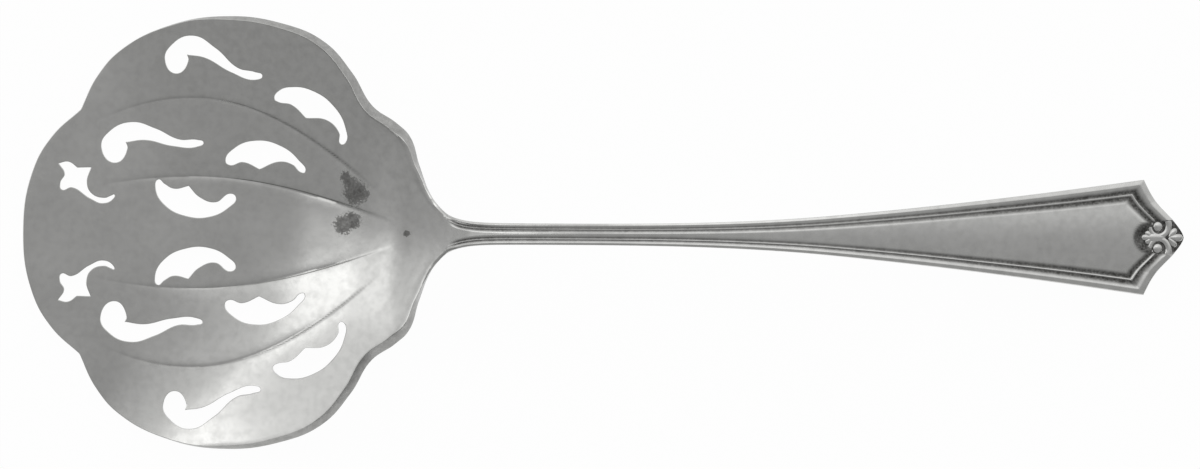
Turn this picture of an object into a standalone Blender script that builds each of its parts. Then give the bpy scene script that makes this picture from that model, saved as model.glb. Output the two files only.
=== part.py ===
"""Tomato server: a pierced and fluted bowl, hard-soldered to a struck handle.

Sizes are in metres. In this file x runs from the bowl's front edge to the handle's tip, y across and
z up from the table. The parent empty then brings the middle of the length to the origin.
"""
import math

import bmesh
import bpy
import numpy as np
from mathutils import Matrix, Vector, kdtree
from mathutils.bvhtree import BVHTree
from mathutils.geometry import delaunay_2d_cdt

# Bowl blank: the sheet, thin at the front edge and thicker towards the neck. Its rim is square to the sheet,
# and the cut-outs are pierced straight down, with a gradual change between the two.
BOWL_LENGTH = 0.0722
BOWL_WIDTH = 0.0734
NECK_WIDTH = 0.0066
FRONT_GAUGE = 0.0012
NECK_GAUGE = 0.0026
RIM_RUN = 0.0035

# Bowl form: the front stays flat, and the back and sides rise towards the neck.
DISH_START = 0.0290
NECK_RISE = 0.0138
DISH_POWER = 3.0
WALL_SPREAD = math.radians(115)
WALL_FADE = 1.5

# Flutes: four creases that spread from the neck, with a low swell between each two.
INNER_CREASE = 0.0095
OUTER_CREASE = 0.0229
CREASE_PEAK = 0.0286
CREASE_FRONT_REACH = 0.0420
NECK_PLATE = 0.0050
FLUTE_RISE = 0.0006
FLUTE_START = 0.0180
FLUTE_FULL = 0.0540
MIDDLE_SWELL = 0.3
SIDE_SWELL = 0.0080

# Handle, seen from above, with distances from the seam.
HANDLE_LENGTH = 0.1247
WAIST_AT = 0.0208
WAIST_WIDTH = 0.0036
NECK_FLARE = 0.0030
SHANK_AT = 0.0648
SHANK_WIDTH = 0.0067
SHANK_TAPER = 0.093
END_WIDTH = 0.0195
END_TAPER = 0.146
TIP_LENGTH = 0.0070
MITRE_RUN = 0.0300

# Handle, seen from the side: it arches from the neck and comes down to the table at its tip.
CREST_AT = 0.0310
CREST_RISE = 0.0242
TIP_SLOPE = -0.26
WAIST_FACE = 0.0017
WAIST_BACK = 0.0015
END_FACE = 0.0012
END_BACK = 0.0009
BACK_ROUND = 0.5

# Threaded border on the handle's face.
STEM_BORDER = 0.00148
END_BORDER = 0.0038
BORDER_GROWTH = 0.7
STEM_RELIEF = 0.00020
END_RELIEF = 0.00040
BORDER_FADE = 0.0050

# Scrolls at the tip: two rings with an eye in each, and a three-lobed leaf behind them.
VOLUTE_AT = 0.0046
VOLUTE_SPREAD = 0.00195
VOLUTE_RADIUS = 0.00135
VOLUTE_WIRE = 0.00032
EYE_RADIUS = 0.00075
LEAF_AT = 0.0068
LEAF_SPREAD = 0.00126
LEAF_RADIUS = 0.00055
SCROLL_SINK = 0.0002

# Lap joint: the handle's tongue lies under the bowl's neck, with solder between them.
TONGUE_LENGTH = 0.0140
TONGUE_WIDTH = 0.0040
TONGUE_TIP_DEPTH = 0.0006
TONGUE_DEPTH = 0.0012
SEAM_GAP = 0.0003
SOLDER_GAUGE = 0.00016
SOLDER_CLEARANCE = 0.00012

# Mesh fineness.
SHEET_SPACING = 0.0020
NECK_SPACING = 0.0012
POINT_CLEARANCE = 0.65
MERGE_DISTANCE = 1e-7
CURVE_STEPS = 4
FLARE_STATIONS = 6
STEM_STATIONS = 36
LAP_STATIONS = 7
NOSE_SHARES = (0.08, 0.3, 0.6, 1.0)
SOLDER_STATIONS = 8
SOLDER_LINES = 9
RING_STEPS = 20
WIRE_STEPS = 8
WELD_DISTANCE = 0.00002
SHARP_ANGLE = math.radians(30)

# The blank's outline on one side of the axis, front to neck, in hundredths of the bowl's length and of
# half its width. A third value marks a sharp corner.
CORNER = True
OUTLINE = (
    (0.0, 0.0), (2.2, 28.3), (6.8, 44.4), (13.4, 56.5, CORNER), (17.2, 71.9), (23.0, 84.5),
    (34.2, 95.7), (47.4, 100.0), (60.7, 96.8), (70.9, 88.2), (77.6, 73.6), (82.3, 58.7),
    (88.0, 50.8), (91.1, 44.8), (93.5, 30.8), (96.3, 17.2),
)

# The pierced motifs on one side of the axis, in the same hundredths.
OUTER_COMMA = (
    (33.2, 80.1), (35.8, 73.5), (38.7, 79.5), (38.4, 82.2, CORNER), (42.6, 80.9), (48.8, 74.3),
    (54.8, 70.8), (56.2, 72.5), (54.4, 74.2), (50.6, 75.9), (45.2, 85.1), (39.5, 91.0), (34.8, 86.6),
)
INNER_COMMA = (
    (18.3, 39.5), (21.5, 32.1), (24.4, 38.9), (24.0, 41.6, CORNER), (28.6, 42.7), (35.1, 40.0),
    (40.8, 39.7), (42.3, 41.6), (41.0, 42.7), (36.6, 42.9), (31.1, 47.8), (25.4, 50.8), (20.4, 46.8),
)
OUTER_LEAF = (
    (59.1, 62.0), (60.2, 65.6), (63.5, 67.3), (68.0, 65.6), (73.0, 58.7), (75.9, 48.4), (75.9, 41.8),
    (74.8, 41.2), (74.4, 46.4), (71.6, 52.1), (66.6, 53.2, CORNER), (63.1, 59.3), (60.0, 60.6),
)
MIDDLE_LEAF = (
    (47.6, 33.0), (49.6, 38.9), (54.9, 42.5), (60.7, 39.9), (64.7, 33.8), (66.3, 28.2), (65.4, 28.1),
    (63.5, 31.5), (60.4, 33.0), (55.6, 29.5, CORNER), (51.6, 32.7), (48.5, 31.3),
)
INNER_LEAF = (
    (31.7, 24.3), (31.1, 20.5), (33.3, 12.6), (38.5, 7.5), (43.8, 7.3), (48.2, 11.5), (50.0, 16.2),
    (48.8, 17.9), (45.2, 13.9), (41.4, 16.3), (38.9, 21.4, CORNER), (35.4, 20.1), (33.2, 22.3),
)
THISTLE = (
    (8.3, 31.6, CORNER), (10.6, 32.3), (12.7, 29.6, CORNER), (15.9, 29.8, CORNER), (14.9, 23.4),
    (15.9, 18.0), (19.1, 15.7), (20.7, 16.8), (21.4, 17.2), (21.2, 15.6), (18.8, 13.3), (15.6, 15.6),
    (11.4, 20.6), (9.0, 19.6), (8.7, 22.6), (9.7, 26.8),
)
MOTIFS = (OUTER_COMMA, INNER_COMMA, OUTER_LEAF, MIDDLE_LEAF, INNER_LEAF, THISTLE)

# The border's section from the edge inwards: share of its width, and height as a share of its relief.
MOULDING = (
    (0.00, -0.10), (0.12, 0.15), (0.28, 0.30), (0.40, 0.10), (0.54, -0.45), (0.69, 0.05), (0.85, -0.45),
    (1.00, -0.05),
)

# The end edge from a shoulder to the tip, a double curve: share of the half width, share of the tip's
# length, and slope.
TIP_KNOTS = ((0.0, 0.0, 0.68), (0.5, 0.445, 1.35), (1.0, 1.0, 0.45))

UP = Vector((0.0, 0.0, 1.0))
LENGTH = BOWL_LENGTH + HANDLE_LENGTH
CREASE_END = BOWL_LENGTH - NECK_PLATE
DISH_REACH = BOWL_LENGTH - DISH_START
NECK_SLOPE = DISH_POWER * NECK_RISE / DISH_REACH
SHOULDER = LENGTH - TIP_LENGTH
TONGUE_START = BOWL_LENGTH - TONGUE_LENGTH
LAP_GAP = SOLDER_GAUGE + 2 * SOLDER_CLEARANCE
TIP_LEAN = (END_FACE + END_RELIEF * MOULDING[0][1]) * math.sin(math.atan(-TIP_SLOPE))


def smooth_step(start, end, value):
    share = min(max((value - start) / (end - start), 0.0), 1.0)
    return share * share * (3 - 2 * share)


def hermite(x, start, end):
    """Value and slope at x of the cubic between two (x, value, slope) knots."""
    run = end[0] - start[0]
    t = (x - start[0]) / run
    value = (
        (2 * t**3 - 3 * t**2 + 1) * start[1] + (t**3 - 2 * t**2 + t) * run * start[2]
        + (3 * t**2 - 2 * t**3) * end[1] + (t**3 - t**2) * run * end[2]
    )
    slope = (
        (6 * t**2 - 6 * t) * (start[1] - end[1]) / run
        + (3 * t**2 - 4 * t + 1) * start[2] + (3 * t**2 - 2 * t) * end[2]
    )
    return value, slope


def crease(x, offset):
    """Distance of a crease from the axis: widest at the peak and closing towards the neck."""
    reach = CREASE_END - CREASE_PEAK if x > CREASE_PEAK else CREASE_FRONT_REACH
    turn = min(max((x - CREASE_PEAK) / reach, -1.0), 1.0)
    return offset * math.cos(turn * math.pi / 2)


def flute(x, y):
    """Swell of the flutes above the plain dish, zero on each crease."""
    inner = crease(x, INNER_CREASE)
    outer = crease(x, OUTER_CREASE)
    if x >= CREASE_END:
        return 0.0
    side = abs(y)
    if side < inner:
        swell = MIDDLE_SWELL * math.cos(side / inner * math.pi / 2) * inner / INNER_CREASE
    elif side < outer:
        swell = math.sin((side - inner) / (outer - inner) * math.pi) * inner / INNER_CREASE
    else:
        swell = math.sin(min((side - outer) / SIDE_SWELL, 1.0) * math.pi / 2) * outer / OUTER_CREASE
    return FLUTE_RISE * swell * smooth_step(FLUTE_START, FLUTE_FULL, x)


def dish(x, y):
    """Height of the plain dish: it grows with the distance from its start, and dies out to the front."""
    along = (x - DISH_START) / DISH_REACH
    across = y / (BOWL_WIDTH / 2)
    angle = math.atan2(abs(across), along)
    if angle >= WALL_SPREAD:
        return 0.0
    wall = math.cos(angle / WALL_SPREAD * math.pi / 2) ** WALL_FADE
    return NECK_RISE * wall * math.hypot(along, across) ** DISH_POWER


def sheet(x, y):
    """Height of the bowl's underside."""
    return dish(x, y) + flute(x, y)


def spine(x):
    """Height and slope, on the axis, of the line that the bowl's underside hands on to the handle."""
    seam = (BOWL_LENGTH, NECK_RISE, NECK_SLOPE)
    crest = (BOWL_LENGTH + CREST_AT, CREST_RISE, 0.0)
    tip = (LENGTH, END_BACK * math.cos(math.atan(TIP_SLOPE)), TIP_SLOPE)
    if x < BOWL_LENGTH:
        along = max(x - DISH_START, 0.0) / DISH_REACH
        return NECK_RISE * along**DISH_POWER, NECK_SLOPE * along ** (DISH_POWER - 1)
    if x < crest[0]:
        return hermite(x, seam, crest)
    return hermite(x, crest, tip)


def square_to_spine(x):
    return Vector((-spine(x)[1], 0.0, 1.0)).normalized()


def gauge(x):
    """Thickness of the bowl's sheet, and how fast it grows."""
    growth = (NECK_GAUGE - FRONT_GAUGE) / BOWL_LENGTH**2
    return FRONT_GAUGE + growth * x**2, 2 * growth * x


def metal(name, colour, roughness):
    silver = bpy.data.materials.new(name)
    silver.use_nodes = True
    shader = silver.node_tree.nodes["Principled BSDF"]
    shader.inputs["Base Color"].default_value = (*colour, 1.0)
    shader.inputs["Metallic"].default_value = 1.0
    shader.inputs["Roughness"].default_value = roughness
    return silver


def add_object(name, mesh, finish, collection, parent):
    piece = bpy.data.objects.new(name, mesh)
    mesh.materials.append(finish)
    collection.objects.link(piece)
    piece.parent = parent
    return piece


def closed_spline(curve, knots):
    """Smooth closed curve through (x, y) knots in hundredths of the blank, sharp at its corners."""
    spline = curve.splines.new("BEZIER")
    spline.bezier_points.add(len(knots) - 1)
    spline.use_cyclic_u = True
    for point, knot in zip(spline.bezier_points, knots):
        point.co = (knot[0] / 100 * BOWL_LENGTH, knot[1] / 100 * BOWL_WIDTH / 2, 0.0)
        bend = "VECTOR" if CORNER in knot[2:] else "AUTO"
        point.handle_left_type = bend
        point.handle_right_type = bend


def mirrored(knots):
    return [(knot[0], -knot[1], *knot[2:]) for knot in reversed(knots)]


def whole_outline():
    """The blank's outline on both sides of the axis."""
    neck = (100.0, NECK_WIDTH / BOWL_WIDTH * 100, CORNER)
    half = (*OUTLINE, neck)
    return [*half, *mirrored(half[1:])]


def filled_curve(name, shapes):
    """Flat mesh of closed curves, filled between the outer one and the cut-outs in it."""
    curve = bpy.data.curves.new(name, "CURVE")
    curve.dimensions = "2D"
    curve.fill_mode = "BOTH"
    curve.resolution_u = CURVE_STEPS
    for knots in shapes:
        closed_spline(curve, knots)
    holder = bpy.data.objects.new(name, curve)
    bpy.context.scene.collection.objects.link(holder)
    evaluated = holder.evaluated_get(bpy.context.evaluated_depsgraph_get())
    mesh = bpy.data.meshes.new_from_object(evaluated)
    flat = bmesh.new()
    flat.from_mesh(mesh)
    bpy.data.meshes.remove(mesh)
    bpy.data.objects.remove(holder)
    bpy.data.curves.remove(curve)
    return flat


def crease_lines():
    """The four creases as rows of points, from where the flutes start to where they meet the neck."""
    end = CREASE_END - NECK_PLATE / 4
    stations = np.linspace(FLUTE_START, end, round((end - FLUTE_START) / SHEET_SPACING))
    for offset in (INNER_CREASE, OUTER_CREASE):
        for side in (1, -1):
            yield [Vector((x, side * crease(x, offset))) for x in stations]


def sheet_points(start, end, spacing):
    """Staggered rows of points over the blank's width, between two distances from the front."""
    rows = math.ceil(BOWL_WIDTH / spacing)
    columns = math.ceil((end - start) / spacing)
    for row in range(rows + 1):
        y = (row / rows - 0.5) * BOWL_WIDTH
        for column in range(columns):
            yield Vector((start + (column + 0.25 + 0.5 * (row % 2)) * spacing, y))


def nearest(points):
    """Search tree over flat points."""
    tree = kdtree.KDTree(len(points))
    for index, point in enumerate(points):
        tree.insert(point.to_3d(), index)
    tree.balance()
    return tree


def centre(points):
    return sum(points, Vector((0.0, 0.0))) / len(points)


def pierced_blank():
    """Flat triangles that fill the blank round its cut-outs, with edges along the creases."""
    flat = filled_curve("bowl_blank", [whole_outline(), *MOTIFS, *[mirrored(motif) for motif in MOTIFS]])
    surface = BVHTree.FromBMesh(flat)
    points = [vertex.co.to_2d() for vertex in flat.verts]
    edges = [tuple(v.index for v in edge.verts) for edge in flat.edges if edge.is_boundary]
    flat.free()

    def on_blank(point):
        return surface.ray_cast(point.to_3d() + UP, -UP)[0] is not None

    for line in crease_lines():
        first = len(points)
        edges += [(first + i, first + i + 1) for i in range(len(line) - 1)]
        points += line
    drawn = nearest(points)
    neck = TONGUE_START - SHEET_SPACING
    for start, end, spacing in ((0.0, neck, SHEET_SPACING), (neck, BOWL_LENGTH, NECK_SPACING)):
        for point in sheet_points(start, end, spacing):
            if on_blank(point) and drawn.find(point.to_3d())[2] > POINT_CLEARANCE * spacing:
                points.append(point)
    whole_hull = 0
    filled = delaunay_2d_cdt(points, edges, [], whole_hull, MERGE_DISTANCE)
    points = filled[0]
    triangles = [corners for corners in filled[2] if on_blank(centre([points[i] for i in corners]))]
    return points, triangles


def thickness(vertex, rim_gap):
    """Step from the sheet's underside to its top: square to the sheet at the rim, plumb at the cut-outs."""
    plumb = min(rim_gap / RIM_RUN, 1.0)
    return gauge(vertex.co.x)[0] * (vertex.normal * (1 - plumb) + UP * plumb / vertex.normal.z)


def make_bowl(finish, collection, parent):
    """The blank is pressed to the dish and flutes, then given its thickness upwards."""
    points, triangles = pierced_blank()
    mesh = bpy.data.meshes.new("pierced_bowl")
    mesh.from_pydata([(p.x, p.y, sheet(p.x, p.y)) for p in points], [], triangles)
    solid = bmesh.new()
    solid.from_mesh(mesh)
    bmesh.ops.delete(solid, geom=[v for v in solid.verts if not v.link_faces], context="VERTS")
    solid.normal_update()
    outline = filled_curve("bowl_rim", [whole_outline()])
    rim = nearest([vertex.co.to_2d() for vertex in outline.verts])
    outline.free()
    step = solid.verts.layers.float_vector.new("thickness")
    for vertex in solid.verts:
        vertex[step] = thickness(vertex, rim.find(vertex.co.to_2d().to_3d())[2])
    raised = bmesh.ops.extrude_face_region(solid, geom=solid.faces[:])["geom"]
    for element in raised:
        if isinstance(element, bmesh.types.BMVert):
            element.co += element[step]
    solid.verts.layers.float_vector.remove(step)
    bmesh.ops.recalc_face_normals(solid, faces=solid.faces[:])
    solid.to_mesh(mesh)
    solid.free()
    return add_object("pierced_bowl", mesh, finish, collection, parent)


def half_width(x):
    """Half the handle's width: a flare at the neck, a waist, then a taper to the shoulders."""
    waist = (BOWL_LENGTH + WAIST_AT, WAIST_WIDTH / 2, 0.0)
    shank = (BOWL_LENGTH + SHANK_AT, SHANK_WIDTH / 2, SHANK_TAPER)
    end = (SHOULDER, END_WIDTH / 2, END_TAPER)
    if x < waist[0]:
        return waist[1] + (NECK_WIDTH - WAIST_WIDTH) / 2 * math.exp((BOWL_LENGTH - x) / NECK_FLARE)
    if x < shank[0]:
        return hermite(x, waist, shank)[0]
    return hermite(x, shank, end)[0]


def width_share(x):
    """How far the handle has widened, from 0 at the waist to 1 at the shoulders."""
    return (half_width(x) - WAIST_WIDTH / 2) / (END_WIDTH / 2 - WAIST_WIDTH / 2)


def border(x):
    growth = max(width_share(x), 0.0) ** BORDER_GROWTH
    return STEM_BORDER + (END_BORDER - STEM_BORDER) * growth


def relief(x):
    fade = smooth_step(BOWL_LENGTH, BOWL_LENGTH + BORDER_FADE, x)
    return fade * (STEM_RELIEF + (END_RELIEF - STEM_RELIEF) * width_share(x))


def moulded(share):
    shares, heights = zip(*MOULDING)
    return float(np.interp(share, shares, heights))


def tip_offset(side):
    """How far the end edge lies beyond the shoulders, at a share of the half width."""
    inward = 1 - side
    shoulder, middle, tip = TIP_KNOTS
    span = (shoulder, middle) if inward < middle[0] else (middle, tip)
    return TIP_LENGTH * hermite(inward, *span)[0]


def face_stations():
    """Stations along the handle as (x on the edge, border share from the end edge)."""
    mitre = TIP_LENGTH / (END_WIDTH / 2)
    lean = math.hypot(1.0, mitre)
    ends = [(SHOULDER - share * END_BORDER * lean, share) for share, _ in reversed(MOULDING)]
    start = BOWL_LENGTH + 2 * SEAM_GAP
    flare = np.linspace(start, BOWL_LENGTH + BORDER_FADE, FLARE_STATIONS)
    stem = np.linspace(BOWL_LENGTH + BORDER_FADE, ends[0][0], STEM_STATIONS)
    return [(x, 1.0) for x in (*flare, *stem[1:-1])] + ends


def face_lines():
    """Lines along the handle as (side, border share, share of the panel's half width)."""
    shares = [share for share, _ in MOULDING]
    outer = [(1.0, share, 1.0) for share in shares]
    panel = [(1.0, 1.0, share) for share in (0.75, 0.5, 0.25)]
    half = outer + panel
    return half + [(0.0, 1.0, 0.0)] + [(-side, *rest) for side, *rest in reversed(half)]


def face_height(x):
    """Height of the face above the spine: it carries on from the bowl's sheet, then thins to the tip."""
    waist = BOWL_LENGTH + WAIST_AT
    thinning = (END_FACE - WAIST_FACE) / (SHOULDER - waist)
    if x < waist:
        return hermite(x, (BOWL_LENGTH, *gauge(BOWL_LENGTH)), (waist, WAIST_FACE, thinning))[0]
    return WAIST_FACE + (x - waist) * thinning


def hollow(x, y):
    """Rise of the bowl's neck to both sides of the axis, which dies out along the stem."""
    return (sheet(BOWL_LENGTH, y) - NECK_RISE) * (1 - smooth_step(BOWL_LENGTH, BOWL_LENGTH + WAIST_AT, x))


def face_section(x, end_share):
    """Top and back points of the handle's section at one station."""
    width = half_width(x)
    edge = border(x)
    turn = smooth_step(SHOULDER - END_BORDER - MITRE_RUN, SHOULDER - 2 * END_BORDER, x)
    knots = (BOWL_LENGTH, BOWL_LENGTH + WAIST_AT, SHOULDER)
    face = face_height(x)
    depth = np.interp(x, knots, (LAP_GAP + TONGUE_DEPTH, WAIST_BACK, END_BACK))
    top = []
    back = []
    for side, share, panel in face_lines():
        y = side * (width - share * edge) * panel
        at = x + turn * tip_offset(abs(y) / width)
        square = square_to_spine(at)
        base = Vector((at, y, spine(at)[0] + hollow(x, y)))
        rounding = 1 - BACK_ROUND * (abs(y) / width) ** 4
        top.append(base + square * (face + relief(x) * moulded(min(share, end_share))))
        back.append(base - square * depth * rounding)
    return top, back


def tongue_half_width(x):
    along = x - TONGUE_START
    nose = TONGUE_WIDTH / 2
    if along < nose:
        return math.sqrt(nose**2 - (nose - along) ** 2)
    return float(np.interp(along, (nose, TONGUE_LENGTH), (nose, NECK_WIDTH / 2)))


def tongue_section(x):
    """Top and back points of the tongue under the bowl's neck."""
    square = square_to_spine(x)
    depth = float(np.interp(x, (TONGUE_START, BOWL_LENGTH), (TONGUE_TIP_DEPTH, TONGUE_DEPTH)))
    width = half_width(BOWL_LENGTH)
    edge = border(BOWL_LENGTH)
    top = []
    back = []
    for side, share, panel in face_lines():
        across = side * (width - share * edge) * panel / width
        y = across * tongue_half_width(x)
        seat = Vector((x, y, sheet(x, y))) - square * LAP_GAP
        rounding = 1 - BACK_ROUND * across**4
        top.append(seat)
        back.append(seat - square * depth * rounding)
    return top, back


def loft(name, sections):
    """Closed solid through sections that each hold a top row and a back row of points."""
    solid = bmesh.new()
    tops = [[solid.verts.new(point) for point in top] for top, _ in sections]
    backs = [[solid.verts.new(point) for point in back] for _, back in sections]
    last = len(tops[0]) - 1
    for near in range(len(sections) - 1):
        far = near + 1
        for row in (tops, backs):
            for line in range(last):
                solid.faces.new((row[near][line], row[far][line], row[far][line + 1], row[near][line + 1]))
        for line in (0, last):
            solid.faces.new((backs[near][line], backs[far][line], tops[far][line], tops[near][line]))
    for end in (0, len(sections) - 1):
        for line in range(last):
            solid.faces.new((tops[end][line], tops[end][line + 1], backs[end][line + 1], backs[end][line]))
    bmesh.ops.recalc_face_normals(solid, faces=solid.faces[:])
    mesh = bpy.data.meshes.new(name)
    solid.to_mesh(mesh)
    solid.free()
    return mesh


def on_face(from_tip, across):
    """Frame on the handle's face near the tip, its z square to the face and sunk a little below it."""
    at = LENGTH - from_tip
    seat = Vector((at, across, spine(at)[0])) + square_to_spine(at) * (END_FACE - SCROLL_SINK)
    return Matrix.Translation(seat) @ Matrix.Rotation(-math.atan(spine(at)[1]), 4, "Y")


def make_scrolls(finish, collection, parent):
    """Rings, eyes and leaf lobes that are raised on the face, as one operand for the handle."""
    solid = bmesh.new()
    spots = [(VOLUTE_AT, side * VOLUTE_SPREAD) for side in (1, -1)]
    for spot in spots:
        frame = on_face(*spot)
        section = Matrix.Translation((VOLUTE_RADIUS, 0.0, 0.0)) @ Matrix.Rotation(math.pi / 2, 4, "X")
        circle = bmesh.ops.create_circle(
            solid, segments=WIRE_STEPS, radius=VOLUTE_WIRE, matrix=frame @ section)
        wire = circle["verts"]
        loop = list({edge for vertex in wire for edge in vertex.link_edges})
        bmesh.ops.spin(
            solid, geom=wire + loop, cent=frame.translation, axis=frame.col[2].to_3d(),
            angle=2 * math.pi, steps=RING_STEPS, use_merge=True)
    bosses = [(spot, EYE_RADIUS) for spot in spots]
    bosses += [((LEAF_AT, side * LEAF_SPREAD), LEAF_RADIUS) for side in (1, 0, -1)]
    for spot, radius in bosses:
        bmesh.ops.create_uvsphere(
            solid, u_segments=RING_STEPS // 2, v_segments=WIRE_STEPS, radius=radius, matrix=on_face(*spot))
    bmesh.ops.recalc_face_normals(solid, faces=solid.faces[:])
    mesh = bpy.data.meshes.new("scroll_operand")
    solid.to_mesh(mesh)
    solid.free()
    scrolls = add_object("scroll_operand", mesh, finish, collection, parent)
    scrolls.hide_render = True
    scrolls.display_type = "WIRE"
    return scrolls


def raise_scrolls(handle, scrolls):
    """Join the scrolls to the handle's face, and weld the very short edges that the joining leaves."""
    union = handle.modifiers.new("scrolls", "BOOLEAN")
    union.operation = "UNION"
    union.solver = "EXACT"
    union.object = scrolls
    weld = handle.modifiers.new("weld", "WELD")
    weld.merge_threshold = WELD_DISTANCE


def make_handle(finish, collection, parent):
    nose = TONGUE_WIDTH / 2
    rounded = [TONGUE_START + nose * share for share in NOSE_SHARES]
    lap = np.linspace(rounded[-1], BOWL_LENGTH + SEAM_GAP, LAP_STATIONS)
    sections = [tongue_section(x) for x in (*rounded, *lap[1:])]
    sections += [face_section(x, share) for x, share in face_stations()]
    mesh = loft("handle", sections)
    return add_object("handle", mesh, finish, collection, parent)


def make_solder(finish, collection, parent):
    """The film of solder lies between the tongue and the bowl, a little inside the tongue's outline."""
    inset = TONGUE_WIDTH / 2
    shares = np.linspace(-1.0, 1.0, SOLDER_LINES)
    sections = []
    for x in np.linspace(TONGUE_START + inset, BOWL_LENGTH - inset / 2, SOLDER_STATIONS):
        square = square_to_spine(x)
        width = tongue_half_width(x) - inset / 4
        seat = [Vector((x, y, sheet(x, y))) - square * SOLDER_CLEARANCE for y in shares * width]
        sections.append((seat, [point - square * SOLDER_GAUGE for point in seat]))
    mesh = loft("solder_seam", sections)
    return add_object("solder_seam", mesh, finish, collection, parent)


def shade(piece):
    piece.data.shade_smooth()
    piece.data.set_sharp_from_angle(angle=SHARP_ANGLE)


def build():
    for old in list(bpy.data.objects):
        bpy.data.objects.remove(old)
    parts = bpy.data.collections.new("tomato_server")
    operands = bpy.data.collections.new("cutters")
    for collection in (parts, operands):
        bpy.context.scene.collection.children.link(collection)
    middle = bpy.data.objects.new("server_frame", None)
    middle.location = (-(LENGTH + TIP_LEAN) / 2, 0.0, 0.0)
    parts.objects.link(middle)
    struck = metal("sterling_handle", (0.58, 0.58, 0.57), 0.22)
    bowl = make_bowl(metal("sterling_bowl", (0.56, 0.56, 0.55), 0.25), parts, middle)
    handle = make_handle(struck, parts, middle)
    solder = make_solder(metal("silver_solder", (0.50, 0.50, 0.48), 0.40), parts, middle)
    raise_scrolls(handle, make_scrolls(struck, operands, middle))
    for piece in (bowl, handle, solder):
        shade(piece)


build()
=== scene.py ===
import math

import bmesh
import bpy
import numpy as np
from mathutils import Matrix, Vector, kdtree
from mathutils.bvhtree import BVHTree
from mathutils.geometry import delaunay_2d_cdt


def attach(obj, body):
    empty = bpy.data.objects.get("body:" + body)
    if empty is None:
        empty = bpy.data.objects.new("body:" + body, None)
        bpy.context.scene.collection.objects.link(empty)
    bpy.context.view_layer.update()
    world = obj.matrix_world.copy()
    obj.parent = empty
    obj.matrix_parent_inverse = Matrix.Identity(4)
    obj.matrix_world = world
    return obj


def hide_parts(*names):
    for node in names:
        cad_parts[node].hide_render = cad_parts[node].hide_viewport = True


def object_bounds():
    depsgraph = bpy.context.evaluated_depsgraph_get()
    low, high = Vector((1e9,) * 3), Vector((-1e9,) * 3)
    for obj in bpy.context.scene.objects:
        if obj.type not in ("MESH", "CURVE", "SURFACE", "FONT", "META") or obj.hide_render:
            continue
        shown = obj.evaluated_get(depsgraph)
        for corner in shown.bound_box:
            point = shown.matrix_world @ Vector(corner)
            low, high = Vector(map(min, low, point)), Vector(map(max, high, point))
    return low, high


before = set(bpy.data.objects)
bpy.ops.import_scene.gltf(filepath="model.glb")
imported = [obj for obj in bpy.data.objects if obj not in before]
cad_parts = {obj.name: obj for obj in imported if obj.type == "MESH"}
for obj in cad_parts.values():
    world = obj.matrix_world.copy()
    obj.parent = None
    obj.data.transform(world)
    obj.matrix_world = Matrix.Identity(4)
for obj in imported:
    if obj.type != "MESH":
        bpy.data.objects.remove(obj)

cad_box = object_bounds()
front_edge = cad_box[0].x

# Pierced bowl: one sheet of sterling silver, thinner at the front than at the neck. It is pressed between
# dies into a shallow dish with five flutes, and the drain cut-outs are pierced straight down through it.
# The edges are eased with a file. Lengths are in metres, from the front edge along the handle.
bowl_length = 0.0722
bowl_width = 0.0734
neck_width = 0.0066
front_gauge = 0.0012
neck_gauge = 0.0026
edge_radius = 0.00010
bowl_sharp = math.radians(20)
quarter = math.pi / 2
hair = 1e-6

# The dish rises from its start, runs on straight past its bend, and fades round towards the front.
dish_start = 0.0290
dish_reach = bowl_length - dish_start
neck_rise = 0.0138
dish_power = 3.0
dish_bend = 0.85
bend_slope = dish_power * dish_bend ** (dish_power - 1)
wall_spread = math.radians(115)
wall_fade = 1.5

# Four creases spread from the neck, with a low swell between each two. Both die out at the neck.
inner_crease = 0.0095
outer_crease = 0.0229
crease_peak = 0.0286
crease_front = 0.0420
neck_plate = 0.0038
crease_back = bowl_length - neck_plate - crease_peak
crease_start = 0.0120
crease_full = 0.0400
crease_width = 0.0008
crease_depth = 0.00007
flute_rise = 0.0006
flute_start = 0.0180
flute_full = 0.0540
middle_swell = 0.3
flank_swell = 0.85
flank_start = 8.0
flank_end = 4.0
flank_fall = 0.45
side_swell = 0.0080
neck_close = 0.20
neck_fade = 0.35

# The rim leans out, square to the sheet, with a small lip. At the neck it turns plumb and falls away.
rim_run = 0.0035
rim_splay = 0.06
lip_rise = 0.00010
lip_width = 0.0007
lip_run = 0.0080
neck_drop = 0.0004
drop_start = 0.0640
drop_reach = 0.0060
drop_run = 0.0006
# Painted shade: this share of dark grey is painted on the rim's edge wall, for a darker reflection.
rim_wall_shade = 0.40

# The blank's outline and motifs on one side of the axis, in hundredths of the bowl's length and of half
# its width. A third value marks a sharp corner.
corner = True
outline = (
    (0.0, 0.0), (2.2, 28.3), (6.8, 44.4), (13.4, 56.5, corner), (17.2, 71.9), (23.0, 84.5),
    (34.2, 95.7), (47.4, 100.0), (60.7, 96.8), (70.9, 88.2), (77.6, 73.6), (82.3, 58.7),
    (88.0, 50.8), (91.1, 44.8), (93.5, 30.8), (96.3, 17.2), (98.6, 11.5),
    (100.0, neck_width / bowl_width * 100, corner),
)
outer_comma = (
    (33.2, 80.1), (35.8, 73.5), (38.7, 79.5), (38.4, 82.2, corner), (42.6, 80.9), (48.8, 74.3),
    (54.8, 70.8), (56.2, 72.5), (54.4, 74.2), (50.6, 75.9), (45.2, 85.1), (39.5, 91.0), (34.8, 86.6),
)
inner_comma = (
    (18.3, 39.5), (21.5, 32.1), (24.4, 38.9), (24.0, 41.6, corner), (28.6, 42.7), (35.1, 40.0),
    (40.8, 39.7), (42.3, 41.6), (41.0, 42.7), (36.6, 42.9), (31.1, 47.8), (25.4, 50.8), (20.4, 46.8),
)
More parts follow.
